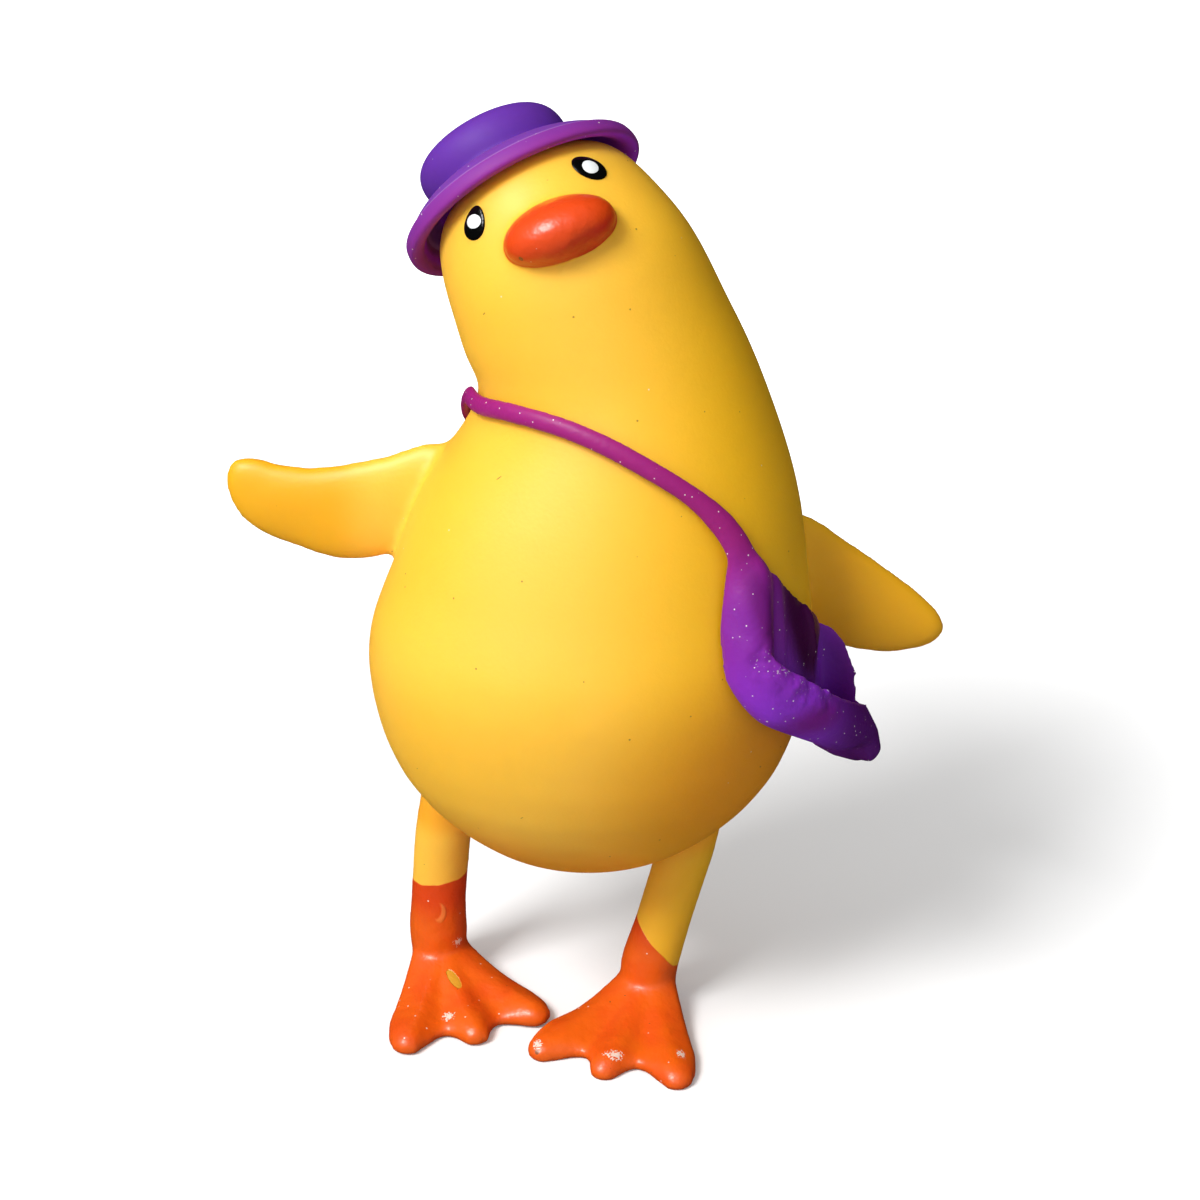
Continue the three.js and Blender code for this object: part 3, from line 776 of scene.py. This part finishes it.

# %% [markdown]
# The bag's violet turns magenta up towards the strap, and a darker magenta low on the pouch's front. Shade
# is painted into its colour at its far end, away from the lamp, in the pocket, and in the crease between the
# gusset and the first rib. Fine dust has gathered along the fold of the lip.

# %% Bag rubber
bag_violet = (0.24, 0.025, 0.58)
gusset_magenta = (0.2, 0.012, 0.29)
crease_shade_magenta = (0.12, 0.0005, 0.13)
strap_magenta = (0.3, 0.009, 0.16)
pocket_shade_violet = (0.055, 0.0003, 0.05)
far_end_shade_violet = (0.1, 0.003, 0.18)
lip_magenta = (0.16, 0.0006, 0.16)
bag_top = 66 * mm
magenta_share = 0.8
lip_dust_share = 0.45
pocket_turn = (0, math.radians(-12), math.radians(25))
bag_finish = {"roughness": 0.48, "subsurface": 0.12, "reach": 1 * mm, "specular": 0.35}

bag_material, tree, shader = new_rubber("bag_rubber", **bag_finish)
position = split(tree, place_of(tree))
colour = mix(tree, step_up(tree, position["Z"], bag_top - 14 * mm, bag_top), bag_violet, gusset_magenta)
colour = mix(tree, step_up(tree, position["Z"], bag_top, bag_top + 12 * mm), colour, strap_magenta)
# painted shade: darker at the bag's far end, away from the lamp
colour = mix(tree, step_up(tree, position["X"], 24 * mm, 32 * mm), colour, far_end_shade_violet)
low_pouch = spot(tree, bag, (814, 722), (4, 4, 1.8), rim=0.8, unevenness=0.2)
colour = mix(tree, times(tree, low_pouch, magenta_share), colour, lip_magenta)
# painted shade inside the pocket
pocket_shade = spot(tree, bag, (806, 622), (4.8, 3, 9), pocket_turn, rim=0.45, unevenness=0.1)
colour = mix(tree, pocket_shade, colour, pocket_shade_violet)
# painted shade in the crease between the gusset and the first rib
crease_shade = spot(tree, bag, (766, 610), (1.6, 2.5, 6.5), pocket_turn, rim=0.6, unevenness=0.1)
colour = mix(tree, times(tree, crease_shade, magenta_share), colour, crease_shade_magenta)
fine_dust = specks(tree, 0.8 * mm, 0.1 * mm, share=0.45, seed=0.023)
coarse_dust = specks(tree, 4 * mm, 0.16 * mm, share=0.3, seed=0.067)
colour = mix(tree, larger(tree, fine_dust, coarse_dust), colour, dust_and_glint_white)
grains = step_up(tree, noise(tree, 0.35 * mm), 0.62, 0.7)
for stop in bag_lip:
    on_lip = inside(tree, ball_space(tree, stop, (lip_reach, lip_reach, lip_reach * 0.5)), 0.5)
    colour = mix(tree, times(tree, times(tree, on_lip, grains), lip_dust_share), colour, dust_and_glint_white)
tree.links.new(colour, shader.inputs["Base Color"])
bump(tree, shader, noise(tree, 0.6 * mm, 1.0), distance=0.06 * mm, strength=0.7)
finish_piece(bag, "bag_rubber", bag_material, "shoulder_bag")

# %% [markdown]
# A plain floor holds the duck's shadow. The photograph's ground is white but throws little light back, so
# the floor is grey to every ray but the camera's, which also sees it fade to white with the distance.

# %% Floor
floor_size = 6
floor_grey = (0.38, 0.38, 0.38)
floor_pale = (0.9, 0.9, 0.9)
floor_roughness = 0.9
near_floor = 0.06
far_floor = 0.3
near_glow = 0.1
far_glow = 0.75

bpy.ops.mesh.primitive_plane_add(size=floor_size)
floor = bpy.context.active_object
floor.name = "floor"
floor_material = bpy.data.materials.new("pale_floor")
floor_material.use_nodes = True
tree = floor_material.node_tree
floor_shader = tree.nodes["Principled BSDF"]
floor_shader.inputs["Roughness"].default_value = floor_roughness
floor_shader.inputs["Specular IOR Level"].default_value = 0.0
floor_shader.inputs["Emission Color"].default_value = (1, 1, 1, 1)
seen = add_node(tree, "ShaderNodeLightPath").outputs["Is Camera Ray"]
away = length_of(tree, place_of(tree))
# the glow is weaker near the duck, which paints a darker zone round it that deepens its shadow
glow = plus(tree, times(tree, step_up(tree, away, near_floor, far_floor), far_glow), near_glow)
tree.links.new(mix(tree, seen, floor_grey, floor_pale), floor_shader.inputs["Base Color"])
tree.links.new(times(tree, glow, seen), floor_shader.inputs["Emission Strength"])
floor.data.materials.append(floor_material)
floor.visible_glossy = False
print("floor", floor_size, "m wide")

# %% [markdown]
# A lamp stands at the upper left, as in the photograph, with a bright sky round it that darkens to the
# right, and a weak lamp fills the shaded side. Only the first lamp shows as gloss on the rubber: the
# photograph's shaded side has no pale sheen, so the floor, the sky and the weak lamp are left out of the
# reflections. The camera sees the sky as plain white.

# %% Lamps and world
dim_sky = 0.07
bright_sky = 0.85
sky_start = -0.4
to_window = Vector((-0.5, -0.5, 0.7)).normalized()


def lamp(name, place, size, power):
    """A square lamp that looks at the duck's middle."""
    data = bpy.data.lights.new(name, "AREA")
    data.size = size
    data.energy = power
    lamp_object = bpy.data.objects.new(name, data)
    bpy.context.scene.collection.objects.link(lamp_object)
    lamp_object.location = place
    lamp_object.rotation_euler = (Vector(place) - look_at).to_track_quat("Z", "Y").to_euler()
    print(name, power, "W")
    return lamp_object


lamp("key_lamp", place=(-0.42, -0.46, 0.68), size=0.3, power=7.9)
fill = lamp("fill_lamp", place=(0.6, -0.5, 0.3), size=0.6, power=0.3)
fill.visible_glossy = False
world = bpy.data.worlds.new("studio")
bpy.context.scene.world = world
world.use_nodes = True
world.cycles_visibility.glossy = False
tree = world.node_tree
background = tree.nodes["Background"]
background.inputs["Color"].default_value = (1, 1, 1, 1)
camera_sees = add_node(tree, "ShaderNodeLightPath").outputs["Is Camera Ray"]
direction = add_node(tree, "ShaderNodeTexCoord").outputs["Generated"]
inputs = {0: direction, 1: to_window}
facing = add_node(tree, "ShaderNodeVectorMath", inputs, operation="DOT_PRODUCT").outputs["Value"]
sky = plus(tree, times(tree, step_up(tree, facing, sky_start, 1.0), bright_sky - dim_sky), dim_sky)
tree.links.new(larger(tree, sky, camera_sees), background.inputs["Strength"])
bpy.context.scene.view_settings.view_transform = "Standard"
